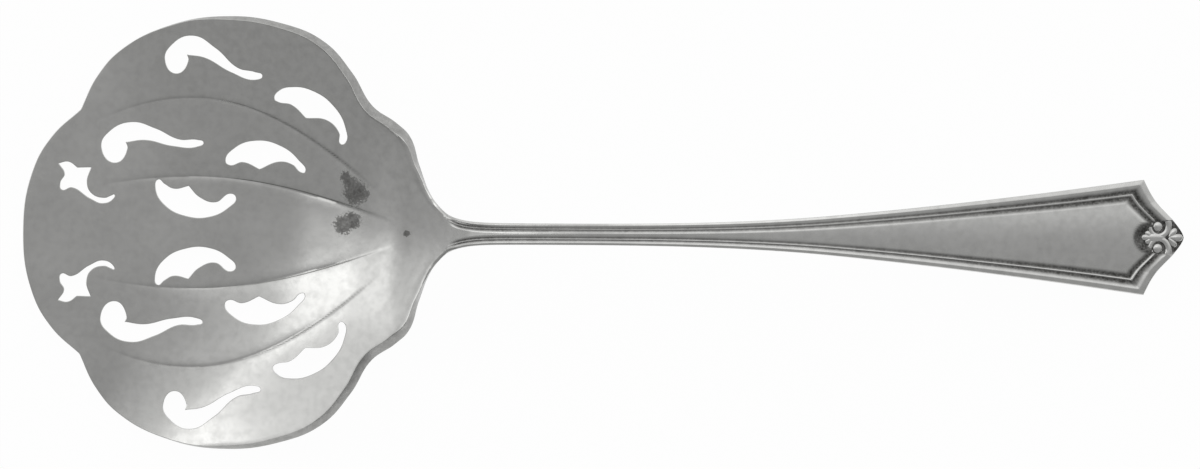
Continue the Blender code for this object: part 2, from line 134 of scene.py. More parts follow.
outer_leaf = (
    (59.1, 62.0), (60.2, 65.6), (63.5, 67.3), (68.0, 65.6), (73.0, 58.7), (75.9, 48.4), (75.9, 41.8),
    (74.8, 41.2), (74.4, 46.4), (71.6, 52.1), (66.6, 53.2, corner), (63.1, 59.3), (60.0, 60.6),
)
middle_leaf = (
    (47.6, 33.0), (49.6, 38.9), (54.9, 42.5), (60.7, 39.9), (64.7, 33.8), (66.3, 28.2), (65.4, 28.1),
    (63.5, 31.5), (60.4, 33.0), (55.6, 29.5, corner), (51.6, 32.7), (48.5, 31.3),
)
inner_leaf = (
    (31.7, 24.3), (31.1, 20.5), (33.3, 12.6), (38.5, 7.5), (43.8, 7.3), (48.2, 11.5), (50.0, 16.2),
    (48.8, 17.9), (45.2, 13.9), (41.4, 16.3), (38.9, 21.4, corner), (35.4, 20.1), (33.2, 22.3),
)
thistle = (
    (8.3, 31.6, corner), (10.6, 32.3), (12.7, 29.6, corner), (15.9, 29.8, corner), (14.9, 23.4),
    (15.9, 18.0), (19.1, 15.7), (20.7, 16.8), (21.4, 17.2), (21.2, 15.6), (18.8, 13.3), (15.6, 15.6),
    (11.4, 20.6), (9.0, 19.6), (8.7, 22.6), (9.7, 26.8),
)
motifs = (outer_comma, inner_comma, outer_leaf, middle_leaf, inner_leaf, thistle)


def closed_spline(curve, knots):
    """Smooth closed curve through knots in hundredths of the blank, sharp at its corners."""
    third = 1 / 3
    spline = curve.splines.new("BEZIER")
    spline.bezier_points.add(len(knots) - 1)
    spline.use_cyclic_u = True
    spots = []
    for along, across, *_ in knots:
        spots.append(Vector((along / 100 * bowl_length, across / 100 * bowl_width / 2, 0.0)))
    for index, (point, knot) in enumerate(zip(spline.bezier_points, knots)):
        spot = spots[index]
        bend = "FREE" if corner in knot[2:] else "AUTO"
        point.co = spot
        point.handle_left_type = bend
        point.handle_right_type = bend
        point.handle_left = spot.lerp(spots[index - 1], third)
        point.handle_right = spot.lerp(spots[(index + 1) % len(spots)], third)


def mirrored(knots):
    return [(knot[0], -knot[1], *knot[2:]) for knot in reversed(knots)]


def evaluated_mesh(holder):
    """Plain mesh of what an object's curve or modifiers make, with the object taken away."""
    bpy.context.scene.collection.objects.link(holder)
    evaluated = holder.evaluated_get(bpy.context.evaluated_depsgraph_get())
    mesh = bpy.data.meshes.new_from_object(evaluated)
    bpy.data.objects.remove(holder)
    return mesh


def crease_close(x):
    """How far a crease has closed towards the axis: 1 where the creases are widest, 0 at the neck."""
    turn = np.where(x > crease_peak, (x - crease_peak) / crease_back, (crease_peak - x) / crease_front)
    return np.cos(np.clip(turn, 0.0, 1.0) * quarter)


def filled_curves(name, shapes):
    """Flat mesh of closed curves, filled between the outer one and the holes in it."""
    curve_steps = 14
    curve = bpy.data.curves.new(name, "CURVE")
    curve.dimensions = "2D"
    curve.fill_mode = "BOTH"
    curve.resolution_u = curve_steps
    for knots in shapes:
        closed_spline(curve, knots)
    flat = bmesh.new()
    flat.from_mesh(evaluated_mesh(bpy.data.objects.new(name, curve)))
    return flat


def edge_fence(flat):
    """Search tree over upright strips along a flat mesh's edges but the seam, to measure distances."""
    half_height = 0.001
    count = len(flat.verts)
    posts = [(v.co.x, v.co.y, z) for z in (-half_height, half_height) for v in flat.verts]
    cut = [edge for edge in flat.edges if edge.is_boundary]
    cut = [edge for edge in cut if min(v.co.x for v in edge.verts) < bowl_length - hair]
    ends = [[v.index for v in edge.verts] for edge in cut]
    return BVHTree.FromPolygons(posts, [(a, b, b + count, a + count) for a, b in ends])


def crease_dirt(x, y):
    """Tarnish along the creases: most of it towards the neck, and more on the outer ones."""
    width = 0.00035
    spots = (0.012, 0.022, 0.040, 0.055, 0.061)
    depths = (0.0, 0.18, 0.15, 0.25, 0.0)
    darkening = np.zeros(len(x))
    for crease, darkness in ((inner_crease, 1.0), (outer_crease, 1.5)):
        darkening += darkness * np.exp(-((np.abs(y) - crease * crease_close(x)) / width) ** 2)
    return darkening * np.interp(x, spots, depths)


def store(mesh, name, values):
    """Keeps a value for each point of a mesh, for the geometry tree or the material to read."""
    mesh.attributes.new(name, "FLOAT", "POINT").data.foreach_set("value", values)


def sawn_blank():
    """Flat blank with its cut-outs: close rows of points along edges and creases, triangles between."""
    edge_rows = (0.00003, 0.00008, 0.00014, 0.00024)
    rim_rows = (0.0005, 0.0008, 0.0012)
    row_share = 0.9
    crease_step = 0.00045
    crease_rows = (0.0, 0.00014, -0.00014, 0.00035, -0.00035, 0.0007, -0.0007)
    cell_length = 0.0003
    cell_width = 0.00014
    crease_clearance = 0.0004
    spacing = 0.0008
    point_share = 0.6
    whole_hull = 0
    merge_distance = 1e-8
    whole_outline = [*outline, *mirrored(outline[1:])]
    rim_flat = filled_curves("bowl_rim", [whole_outline])
    rim = edge_fence(rim_flat)
    rim_flat.free()
    flat = filled_curves("bowl_blank", [whole_outline, *motifs, *[mirrored(motif) for motif in motifs]])
    sawn_edge = edge_fence(flat)
    surface = BVHTree.FromBMesh(flat)
    points = [vertex.co.to_2d() for vertex in flat.verts]
    inward = [Vector((0.0, 0.0)) for _ in points]
    edges = []
    for edge in flat.edges:
        if edge.is_boundary:
            loop = edge.link_loops[0]
            start, end = loop.vert, loop.link_loop_next.vert
            run = (end.co - start.co).to_2d().normalized() * math.copysign(1.0, loop.face.normal.z)
            for vertex in (start, end):
                inward[vertex.index] += Vector((-run.y, run.x))
            edges.append((start.index, end.index))
    flat.free()

    def edge_gap(point):
        return sawn_edge.find_nearest(point.to_3d())[3]

    def rim_gap(point):
        return rim.find_nearest(point.to_3d())[3]

    def on_blank(point):
        return surface.ray_cast((point.x, point.y, 1.0), (0.0, 0.0, -1.0))[0] is not None

    on_rim = [rim_gap(point) < hair for point in points]
    for offset in (*edge_rows, *rim_rows):
        for start, lean, outer in zip(points[:len(inward)], inward, on_rim):
            point = start + lean.normalized() * offset
            wanted = outer or offset in edge_rows
            if wanted and on_blank(point) and edge_gap(point) > row_share * offset:
                points.append(point)
    kept = set()
    for x in np.arange(crease_start, bowl_length - neck_plate, crease_step):
        for crease in (inner_crease, outer_crease):
            for offset in crease_rows:
                y = crease * float(crease_close(x)) + offset
                cell = (round(x / cell_length), round(y / cell_width))
                if y > 0 and cell not in kept and edge_gap(Vector((x, y))) > crease_clearance:
                    kept.add(cell)
                    points += [p for p in (Vector((x, y)), Vector((x, -y))) if on_blank(p)]
    drawn = kdtree.KDTree(len(points))
    for index, point in enumerate(points):
        drawn.insert(point.to_3d(), index)
    drawn.balance()
    rows = math.ceil(bowl_width / spacing)
    for row in range(rows + 1):
        y = (row / rows - 0.5) * bowl_width
        for column in range(math.ceil(bowl_length / spacing)):
            point = Vector(((column + 0.25 + 0.5 * (row % 2)) * spacing, y))
            if on_blank(point) and drawn.find(point.to_3d())[2] > point_share * spacing:
                points.append(point)
    filled = delaunay_2d_cdt(points, edges, [], whole_hull, merge_distance)
    points = filled[0]
    triangles = []
    for face in filled[2]:
        if on_blank(sum((points[i] for i in face), Vector((0.0, 0.0))) / len(face)):
            triangles.append(face)
    used = sorted({i for face in triangles for i in face})
    place = {old: new for new, old in enumerate(used)}
    faces = [[place[i] for i in face] for face in triangles]
    points = [points[i] for i in used]
    mesh = bpy.data.meshes.new("bowl_blank")
    mesh.from_pydata([(*point, 0.0) for point in points], [], faces)
    rim_gaps = np.array([rim_gap(point) for point in points])
    store(mesh, "edge_gap", [edge_gap(point) for point in points])
    store(mesh, "rim_gap", rim_gaps)
    # The sheet's dark mark: tarnish along the creases, and painted shade on the rim's edge wall.
    store(mesh, "tarnish_and_shade", np.maximum(crease_dirt(*np.array(points).T), rim_wall_shade * (rim_gaps < hair)))
    return mesh


def add_node(tree, kind, links=None, out=0, **settings):
    """Adds a node, sets its properties, links or sets its inputs, and gives one of its outputs. A list links
    all that it holds to one input."""
    made = tree.nodes.new(kind)
    for name, value in settings.items():
        setattr(made, name, value)
    for name, sources in (links or {}).items():
        for source in sources if isinstance(sources, list) else [sources]:
            if isinstance(source, bpy.types.NodeSocket):
                tree.links.new(source, made.inputs[name])
            else:
                made.inputs[name].default_value = source
    return made.outputs[out] if made.outputs else None


def shaped(name, mesh, tree, sizes, finish):
    """Plain object from a mesh that a geometry tree has shaped, with the tree's named inputs set."""
    holder = bpy.data.objects.new(name, mesh)
    shaping = holder.modifiers.new(name, "NODES")
    shaping.node_group = tree
    for socket in tree.interface.items_tree:
        if socket.in_out == "INPUT" and socket.name in sizes:
            shaping[socket.identifier] = sizes[socket.name]
        elif socket.in_out == "INPUT" and socket.socket_type == "NodeSocketMaterial":
            shaping[socket.identifier] = finish
    result = evaluated_mesh(holder)
    result.name = name
    piece = bpy.data.objects.new(name, result)
    bpy.context.scene.collection.objects.link(piece)
    return piece


def geometry_tree(name, sizes):
    """New geometry tree with named inputs, and the sockets that they give."""
    tree = bpy.data.node_groups.new(name, "GeometryNodeTree")
    tree.interface.new_socket("Geometry", in_out="INPUT", socket_type="NodeSocketGeometry")
    for size in sizes:
        tree.interface.new_socket(size, in_out="INPUT", socket_type="NodeSocketFloat")
    tree.interface.new_socket("Finish", in_out="INPUT", socket_type="NodeSocketMaterial")
    tree.interface.new_socket("Geometry", in_out="OUTPUT", socket_type="NodeSocketGeometry")
    entry = tree.nodes.new("NodeGroupInput")
    return tree, {socket.name: socket for socket in entry.outputs}


def finish_tree(tree, geometry, finish):
    """Every tree ends in real geometry with its finish, because the export drops instances."""
    solid = add_node(tree, "GeometryNodeRealizeInstances", {"Geometry": geometry})
    solid = add_node(tree, "GeometryNodeSetMaterial", {"Geometry": solid, "Material": finish})
    add_node(tree, "NodeGroupOutput", {"Geometry": solid})


def run_steps(tree, known, steps):
    """Works a rule out in Math nodes: each step is (result, operation, first value, second value)."""
    for result, operation, *values in steps:
        links = {i: known[value] if isinstance(value, str) else value for i, value in enumerate(values)}
        known[result] = add_node(tree, "ShaderNodeMath", links, operation=operation)


def held(name):
    """Steps that keep a value between 0 and 1."""
    return (name, "MAXIMUM", name, 0.0), (name, "MINIMUM", name, 1.0)


def eased(name):
    """Steps that keep a value between 0 and 1, and make it start and end gently."""
    return (
        *held(name), ("ease", "MULTIPLY", name, -2.0), ("ease", "ADD", "ease", 3.0),
        (name, "MULTIPLY", name, name), (name, "MULTIPLY", name, "ease"))


press_sizes = {
    "Length": bowl_length, "Half Width": bowl_width / 2, "Front Gauge": front_gauge,
    "Neck Gauge": neck_gauge, "Edge Radius": edge_radius, "Dish Start": dish_start,
    "Dish Reach": dish_reach, "Neck Rise": neck_rise, "Dish Power": dish_power,
    "Dish Bend": dish_bend, "Bend Slope": bend_slope, "Wall Spread": wall_spread,
    "Wall Fade": wall_fade, "Inner Crease": inner_crease,
    "Outer Crease": outer_crease, "Crease Peak": crease_peak, "Crease Front": crease_front,
    "Crease Back": crease_back, "Flute Rise": flute_rise, "Flute Start": flute_start,
    "Flute Full": flute_full, "Side Swell": side_swell, "Lip Rise": lip_rise, "Lip Width": lip_width,
    "Lip Run": lip_run, "Neck Plate": neck_plate, "Neck Close": neck_close, "Neck Fade": neck_fade,
    "Neck Drop": neck_drop, "Drop Start": drop_start, "Drop Reach": drop_reach, "Drop Run": drop_run,
    "Rim Splay": rim_splay, "Middle Swell": middle_swell, "Flank Swell": flank_swell,
    "Flank Start": flank_start, "Flank End": flank_end, "Flank Fall": flank_fall,
    "Crease Start": crease_start, "Crease Full": crease_full, "Crease Width": crease_width,
    "Crease Depth": crease_depth, "Rim Run": rim_run,
}
dish_steps = (
    ("along", "SUBTRACT", "x", "Dish Start"), ("along", "DIVIDE", "along", "Dish Reach"),
    ("side", "ABSOLUTE", "y"), ("across", "DIVIDE", "side", "Half Width"),
    ("angle", "ARCTAN2", "across", "along"), ("angle", "DIVIDE", "angle", "Wall Spread"),
    ("angle", "MINIMUM", "angle", 1.0), ("angle", "MULTIPLY", "angle", quarter),
    ("wall", "COSINE", "angle"), ("wall", "MAXIMUM", "wall", 0.0),
    ("wall", "POWER", "wall", "Wall Fade"),
    ("along", "MULTIPLY", "along", "along"), ("across", "MULTIPLY", "across", "across"),
    ("far", "ADD", "along", "across"), ("far", "SQRT", "far"),
    ("straight", "SUBTRACT", "far", "Dish Bend"), ("straight", "MAXIMUM", "straight", 0.0),
    ("straight", "MULTIPLY", "straight", "Bend Slope"), ("far", "MINIMUM", "far", "Dish Bend"),
    ("far", "POWER", "far", "Dish Power"), ("far", "ADD", "far", "straight"),
    ("dish", "MULTIPLY", "wall", "far"), ("dish", "MULTIPLY", "dish", "Neck Rise"),
)
flute_steps = (
    ("ahead", "SUBTRACT", "x", "Crease Peak"), ("ahead", "DIVIDE", "ahead", "Crease Back"),
    ("ahead", "MAXIMUM", "ahead", 0.0), ("behind", "SUBTRACT", "Crease Peak", "x"),
    ("behind", "DIVIDE", "behind", "Crease Front"), ("behind", "MAXIMUM", "behind", 0.0),
    ("shut", "ADD", "ahead", "behind"), ("shut", "MINIMUM", "shut", 1.0),
    ("shut", "MULTIPLY", "shut", quarter), ("close", "COSINE", "shut"),
    ("lobe", "DIVIDE", "side", "close"),
    ("middle", "DIVIDE", "lobe", "Inner Crease"), ("middle", "MINIMUM", "middle", 1.0),
    ("middle", "MULTIPLY", "middle", quarter), ("middle", "COSINE", "middle"),
    ("middle", "MULTIPLY", "middle", "Middle Swell"),
    ("flank", "SUBTRACT", "lobe", "Inner Crease"), ("span", "SUBTRACT", "Outer Crease", "Inner Crease"),
    ("flank", "DIVIDE", "flank", "span"), *held("flank"), ("start", "SUBTRACT", 1.0, "flank"),
    ("start", "POWER", "start", "Flank Start"), ("flank", "POWER", "flank", "Flank End"),
    ("flank", "MULTIPLY", "flank", "Flank Fall"), ("flank", "ADD", "flank", "start"),
    ("flank", "SUBTRACT", 1.0, "flank"), ("flank", "MULTIPLY", "flank", "Flank Swell"),
    ("rim", "SUBTRACT", "lobe", "Outer Crease"), ("rim", "MAXIMUM", "rim", 0.0),
    ("rim", "MULTIPLY", "rim", "close"), ("rim", "DIVIDE", "rim", "Side Swell"),
    ("rim", "MINIMUM", "rim", 1.0), ("rim", "MULTIPLY", "rim", quarter), ("rim", "SINE", "rim"),
    ("rim", "MULTIPLY", "rim", "Flank Fall"),
    ("swell", "MAXIMUM", "middle", "flank"), ("swell", "ADD", "swell", "rim"),
    ("swell", "MULTIPLY", "swell", "close"), ("dying", "SUBTRACT", "close", "Neck Close"),
    ("dying", "DIVIDE", "dying", "Neck Fade"), *held("dying"), ("swell", "MULTIPLY", "swell", "dying"),
    ("fade", "SUBTRACT", "x", "Flute Start"), ("run", "SUBTRACT", "Flute Full", "Flute Start"),
    ("fade", "DIVIDE", "fade", "run"), *eased("fade"), ("flute", "MULTIPLY", "swell", "fade"),
    ("flute", "MULTIPLY", "flute", "Flute Rise"), ("lift", "ADD", "dish", "flute"),
)
crease_steps = (
    ("inner", "SUBTRACT", "lobe", "Inner Crease"), ("inner", "ABSOLUTE", "inner"),
    ("outer", "SUBTRACT", "lobe", "Outer Crease"), ("outer", "ABSOLUTE", "outer"),
    ("crease", "MINIMUM", "inner", "outer"), ("crease", "MULTIPLY", "crease", "close"),
    ("crease", "DIVIDE", "crease", "Crease Width"), ("crease", "MINIMUM", "crease", 1.0),
    ("crease", "SUBTRACT", 1.0, "crease"), ("crease", "MULTIPLY", "crease", "crease"),
    ("crease", "MULTIPLY", "crease", "Crease Depth"), ("crease", "MULTIPLY", "crease", "close"),
    ("crease", "MULTIPLY", "crease", "dying"),
    ("begun", "SUBTRACT", "x", "Crease Start"), ("run", "SUBTRACT", "Crease Full", "Crease Start"),
    ("begun", "DIVIDE", "begun", "run"), *held("begun"), ("crease", "MULTIPLY", "crease", "begun"),
    ("lift", "SUBTRACT", "lift", "crease"),
)
lip_steps = (
    ("lip", "DIVIDE", "rim gap", "Lip Width"), ("lip", "MINIMUM", "lip", 1.0),
    ("lip", "SUBTRACT", 1.0, "lip"), ("lip", "MULTIPLY", "lip", "lip"),
    ("lip", "MULTIPLY", "lip", "Lip Rise"),
    ("back", "SUBTRACT", "x", "Dish Start"), ("back", "DIVIDE", "back", "Lip Run"),
    ("neck", "SUBTRACT", "Length", "x"), ("neck", "DIVIDE", "neck", "Neck Plate"),
    ("turned", "MINIMUM", "back", "neck"), *held("turned"), ("lip", "MULTIPLY", "lip", "turned"),
    ("lift", "ADD", "lift", "lip"),
)
gauge_steps = (
    ("thicker", "SUBTRACT", "Neck Gauge", "Front Gauge"), ("reach", "DIVIDE", "x", "Length"),
    ("reach", "MULTIPLY", "reach", "reach"),
    ("gauge", "MULTIPLY", "thicker", "reach"), ("gauge", "ADD", "gauge", "Front Gauge"),
    ("near", "DIVIDE", "edge gap", "Edge Radius"), ("near", "MINIMUM", "near", 1.0),
    ("near", "SUBTRACT", 1.0, "near"), ("near", "MULTIPLY", "near", "near"),
    ("near", "SUBTRACT", 1.0, "near"), ("near", "MAXIMUM", "near", 0.0), ("near", "SQRT", "near"),
    ("near", "SUBTRACT", 1.0, "near"),
    ("ease_top", "MULTIPLY", "near", "Edge Radius"), ("ease_under", "MULTIPLY", "ease_top", 0.5),
    ("up", "SUBTRACT", "gauge", "ease_top"), ("up", "SUBTRACT", "up", "ease_under"),
    ("fall", "DIVIDE", "rim gap", "Drop Run"), ("fall", "MINIMUM", "fall", 1.0),
    ("fall", "SUBTRACT", 1.0, "fall"), ("fall", "MULTIPLY", "fall", "fall"),
    ("late", "SUBTRACT", "x", "Drop Start"), ("late", "DIVIDE", "late", "Drop Reach"), *eased("late"),
    ("fall", "MULTIPLY", "fall", "late"), ("fall", "MULTIPLY", "fall", "Neck Drop"),
    ("up", "SUBTRACT", "up", "fall"),
)
wall_steps = (
    ("plumb", "DIVIDE", "rim gap", "Rim Run"), ("plumb", "MINIMUM", "plumb", 1.0),
    ("plumb", "MAXIMUM", "plumb", "late"),
    ("lean", "SUBTRACT", 1.0, "plumb"), ("splay", "MULTIPLY", "lean", "Rim Splay"),
    ("splay", "ADD", "splay", 1.0), ("lean", "MULTIPLY", "lean", "up"),
    ("over z", "MULTIPLY", "square z", "lean"), ("lean", "MULTIPLY", "lean", "splay"),
    ("over x", "MULTIPLY", "square x", "lean"), ("over y", "MULTIPLY", "square y", "lean"),
    ("plumb", "MULTIPLY", "plumb", "up"),
    ("plumb", "DIVIDE", "plumb", "square z"), ("over z", "ADD", "over z", "plumb"),
)


def bowl_press():
    """Tree that presses the flat blank to the dish and flutes, then gives it its thickness upwards: square
    to the sheet at the rim, and plumb at the cut-outs and at the neck."""
    merge_distance = 1e-7
    tree, known = geometry_tree("bowl_press", press_sizes)
    spot = add_node(tree, "GeometryNodeInputPosition")
    plan = add_node(tree, "ShaderNodeSeparateXYZ", {"Vector": spot}).node.outputs
    known.update(x=plan["X"], y=plan["Y"])
    for gap in ("edge gap", "rim gap"):
        known[gap] = add_node(
            tree, "GeometryNodeInputNamedAttribute", {"Name": gap.replace(" ", "_")}, data_type="FLOAT")
    run_steps(tree, known, dish_steps + flute_steps + crease_steps + lip_steps + gauge_steps)
    rise = add_node(tree, "ShaderNodeCombineXYZ", {"Z": known["lift"]})
    sheet = add_node(tree, "GeometryNodeSetPosition", {"Geometry": known["Geometry"], "Offset": rise})
    normal = add_node(tree, "GeometryNodeInputNormal")
    sheet = add_node(
        tree, "GeometryNodeStoreNamedAttribute", {"Geometry": sheet, "Name": "square", "Value": normal},
        data_type="FLOAT_VECTOR", domain="POINT")
    square = add_node(
        tree, "GeometryNodeInputNamedAttribute", {"Name": "square"}, data_type="FLOAT_VECTOR")
    under = add_node(
        tree, "ShaderNodeVectorMath", {0: square, "Scale": known["ease_under"]}, operation="SCALE")
    sheet = add_node(tree, "GeometryNodeSetPosition", {"Geometry": sheet, "Offset": under})
    raised = add_node(
        tree, "GeometryNodeExtrudeMesh", {"Mesh": sheet, "Offset Scale": 0.0, "Individual": False},
        mode="FACES").node.outputs
    parts = add_node(tree, "ShaderNodeSeparateXYZ", {"Vector": square}).node.outputs
    known.update({f"square {axis.lower()}": parts[axis] for axis in "XYZ"})
    run_steps(tree, known, wall_steps)
    steps = {axis: known[f"over {axis.lower()}"] for axis in "XYZ"}
    over = add_node(tree, "ShaderNodeCombineXYZ", steps)
    top = add_node(
        tree, "GeometryNodeSetPosition",
        {"Geometry": raised["Mesh"], "Selection": raised["Top"], "Offset": over})
    back = add_node(tree, "GeometryNodeFlipFaces", {"Mesh": sheet})
    whole = add_node(tree, "GeometryNodeJoinGeometry", {"Geometry": [top, back]})
    solid = add_node(
        tree, "GeometryNodeMergeByDistance", {"Geometry": whole, "Distance": merge_distance})
    for name in ("square", "edge_gap", "rim_gap"):
        solid = add_node(tree, "GeometryNodeRemoveAttribute", {"Geometry": solid, "Name": name})
    solid = add_node(tree, "GeometryNodeSetShadeSmooth", {"Geometry": solid})
    finish_tree(tree, solid, known["Finish"])
    return tree


def linear(colour):
    """Linear colour from an sRGB hex value."""
    parts = [int(colour[i:i + 2], 16) / 255 for i in (1, 3, 5)]
    return (*[c / 12.92 if c < 0.04045 else ((c + 0.055) / 1.055) ** 2.4 for c in parts], 1.0)


def aged_silver(name, colour, stains=()):
    """Sterling silver with an old hand polish: a soft sheen that is never quite even, and dark grey sulphide
    tarnish where a cloth doesn't reach, speckled and ragged at its edges. The same dark grey is painted
    shade where a mesh marks it so, as on the bowl's rim edge wall."""
    tarnish_and_shade = "#3a3937"
    grain = 0.00040
    blotch = 0.0014
    wave = 0.0030
    cloud = 0.0080
    stain_grain = 1.4
    stain_core = 1.4
    stain_edge = 1.65
    film_depth = 0.14
    smoothest = 0.16
    dullest = 0.22
    tarnish_dullness = 0.25
    wave_height = 0.00002
    silver = bpy.data.materials.new(name)
    silver.use_nodes = True
    tree = silver.node_tree
    shader = tree.nodes["Principled BSDF"]
    place = add_node(tree, "ShaderNodeTexCoord", out="Object")
    speckle, mottle, uneven, haze = [
        add_node(tree, "ShaderNodeTexNoise", {"Vector": place, "Scale": 1 / size, "Detail": detail})
        for size, detail in ((grain, 3.0), (blotch, 5.0), (wave, 4.0), (cloud, 3.0))]
    # Dark mark from the mesh: real tarnish, and painted shade on the bowl's rim edge wall.
    darkening = add_node(tree, "ShaderNodeAttribute", out="Fac", attribute_name="tarnish_and_shade")
    plan = add_node(tree, "ShaderNodeVectorMath", {0: place, 1: (1.0, 1.0, 0.0)}, operation="MULTIPLY")
    for x, y, radius, strength in stains:
        away = add_node(
            tree, "ShaderNodeVectorMath", {0: plan, 1: (front_edge + x, y, 0.0)}, out="Value",
            operation="DISTANCE")
        ragged = add_node(
            tree, "ShaderNodeMath", {0: speckle, 1: stain_grain * radius, 2: away},
            operation="MULTIPLY_ADD")
        mark = add_node(
            tree, "ShaderNodeMapRange",
            {"Value": ragged, "From Min": stain_core * radius, "From Max": stain_edge * radius,
             "To Min": strength, "To Max": 0.0})
        darkening = add_node(tree, "ShaderNodeMath", {0: darkening, 1: mark}, operation="MAXIMUM")
    patchy = add_node(
        tree, "ShaderNodeMapRange",
        {"Value": speckle, "From Min": 0.35, "From Max": 0.6, "To Min": 0.8, "To Max": 1.0})
    darkening = add_node(tree, "ShaderNodeMath", {0: darkening, 1: patchy}, operation="MULTIPLY")
    film = add_node(
        tree, "ShaderNodeMapRange",
        {"Value": mottle, "From Min": 0.4, "From Max": 0.75, "To Min": 0.0, "To Max": film_depth})
    darkening = add_node(tree, "ShaderNodeMath", {0: darkening, 1: film}, operation="ADD", use_clamp=True)
    colours = {0: darkening, 6: linear(colour), 7: linear(tarnish_and_shade)}
    tint = add_node(tree, "ShaderNodeMix", colours, out=2, data_type="RGBA")
    tree.links.new(tint, shader.inputs["Base Color"])
    shader.inputs["Metallic"].default_value = 1.0
    sheen = add_node(
        tree, "ShaderNodeMapRange",
        {"Value": haze, "From Min": 0.3, "From Max": 0.7, "To Min": smoothest, "To Max": dullest})
    rough = add_node(
        tree, "ShaderNodeMath", {0: darkening, 1: tarnish_dullness, 2: sheen}, operation="MULTIPLY_ADD",
        use_clamp=True)
    tree.links.new(rough, shader.inputs["Roughness"])
    bump = add_node(
        tree, "ShaderNodeBump", {"Height": uneven, "Strength": 0.5, "Distance": wave_height}, out="Normal")
    tree.links.new(bump, shader.inputs["Normal"])
    return silver


# Stains that a cloth has missed, as (distance from the front, distance from the axis, radius, strength).
bowl_stains = (
    (0.0565, 0.0069, 0.0024, 0.75), (0.0556, 0.0085, 0.0014, 0.75), (0.0549, 0.0095, 0.0011, 0.7),
    (0.0580, 0.0066, 0.0011, 0.7), (0.0544, 0.0014, 0.0019, 0.75), (0.0559, 0.0021, 0.0018, 0.75),
    (0.0653, 0.0000, 0.0007, 0.75),
)
# Aged sterling sheet: grey and softly mirroring, with a film that makes it a little uneven.
bowl_silver = aged_silver("aged_sterling_bowl", "#c8c8c6", bowl_stains)
bowl = shaped("pierced_bowl_sheet", sawn_blank(), bowl_press(), press_sizes, bowl_silver)
bowl.data.set_sharp_from_angle(angle=bowl_sharp)
bowl.data.transform(Matrix.Translation((front_edge, 0.0, 0.0)))
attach(bowl, "root")
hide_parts("pierced_bowl")

# Handle: a bar of sterling silver struck between dies. Its face has a raised rim, a cove and a fine thread
# round a flat panel, its back is plain and rounded, and a thin tongue at its end laps under the bowl's
# neck. Distances along it are from the seam.
handle_length = 0.1247
waist_at = 0.0208
waist_width = 0.0036
neck_flare = 0.0025
shank_at = 0.0648
shank_width = 0.0067
shank_taper = 0.093
end_width = 0.0195
end_taper = 0.146
tip_length = 0.0070
tip_round = 0.03
mitre_run = 0.0300
tip_end = bowl_length + handle_length
shoulder = tip_end - tip_length

# From the side it runs on straight past the seam, arches, and comes down to the table at its tip.
neck_straight = 0.0040
neck_end = bowl_length + neck_straight
crest_at = 0.0310
crest_rise = 0.0242
tip_slope = -0.26
waist_face = 0.0017
waist_back = 0.0015
end_face = 0.0012
end_back = 0.0009
back_round = 0.5
back_power = 4
handle_sharp = math.radians(40)

# The border grows wider and deeper towards the tip. The panel inside it is slightly crowned.
stem_border = 0.00170
end_border = 0.0037
tip_border = 0.0046
border_growth = 0.7
border_fade = 0.0020
slant_step = border_fade / 30
stem_relief = 0.00020
end_relief = 0.00040
panel_crown = 0.00032
edge_bevel = 0.3

# Tarnish stays in the border's cove and grooves, least on the stem, where hands rub it off.
neck_dirt = 0.85
stem_dirt = 0.58
end_dirt = 0.92
crown_share = 0.20
thread_share = 0.50
cove_start = 0.22
cove_fall = 0.6
groove_start = -0.05
groove_fall = 0.35
groove_fade = 0.15

# The ground under the scrolls is sunk, in a block at the tip and a round halo behind it, whose middle is
# given as a distance from the tip.
ground_length = 0.0058
ground_half = 0.0025
ground_depth = 0.5
ground_soft = 0.0005
halo_at = 0.0063
halo_radius = 0.0024
halo_slope = 0.0012

# The tongue tapers to a round nose and lies under the bowl's neck, with a gap for the solder.
tongue_length = 0.0140
tongue_start = bowl_length - tongue_length
tongue_width = 0.0040
tongue_tip_depth = 0.0006
tongue_depth = 0.0012
lap_gap = 0.00040
seam_gap = 0.0001

# The border's section from the edge inwards, as (share of its width, height as a share of its relief), and
# the end edge from a shoulder to the tip, as (share of the half width, share of the tip's length, slope).
moulding = (
    (0.0, -0.10), (0.17, 0.27), (0.20, 0.30), (0.24, 0.26), (0.42, -0.38), (0.47, -0.45), (0.53, -0.38),
    (0.565, 0.0), (0.58, 0.04), (0.595, 0.0), (0.64, -0.38), (0.70, -0.45), (0.75, -0.38), (0.94, -0.04),
    (1.0, 0.0),
)
end_edge = ((0.0, 0.0, 0.68), (0.5, 0.445, 1.35), (1.0, 1.0, 0.45))


def ease(share):
    share = min(max(share, 0.0), 1.0)
    return share * share * (3 - 2 * share)


def hermite(x, start, end):
    """Value and slope at x of the cubic between two (x, value, slope) knots."""
    run = end[0] - start[0]
    t = (x - start[0]) / run
    value = (
        (2 * t**3 - 3 * t**2 + 1) * start[1] + (t**3 - 2 * t**2 + t) * run * start[2]
        + (3 * t**2 - 2 * t**3) * end[1] + (t**3 - t**2) * run * end[2])
    slope = (
        (6 * t**2 - 6 * t) * (start[1] - end[1]) / run
        + (3 * t**2 - 4 * t + 1) * start[2] + (3 * t**2 - 2 * t) * end[2])
    return value, slope


def dish_profile(far):
    """Rise of the dish at a share of its reach: a curve that runs on straight towards the neck."""
    return min(far, dish_bend) ** dish_power + bend_slope * max(far - dish_bend, 0.0)


def spine(x):
    """Height and slope of the line that the bowl's underside hands on to the handle."""
    crest = (bowl_length + crest_at, crest_rise, 0.0)
    tip = (tip_end, end_back * math.cos(math.atan(tip_slope)), tip_slope)
    if x <= neck_end:
        along = max(x - dish_start, 0.0) / dish_reach
        slope = dish_power * min(along, dish_bend) ** (dish_power - 1) * neck_rise / dish_reach
        return neck_rise * dish_profile(along), slope
    if x < crest[0]:
        return hermite(x, (neck_end, *spine(neck_end)), crest)
    return hermite(x, crest, tip)


def square_to_spine(x):
    return Vector((-spine(x)[1], 0.0, 1.0)).normalized()


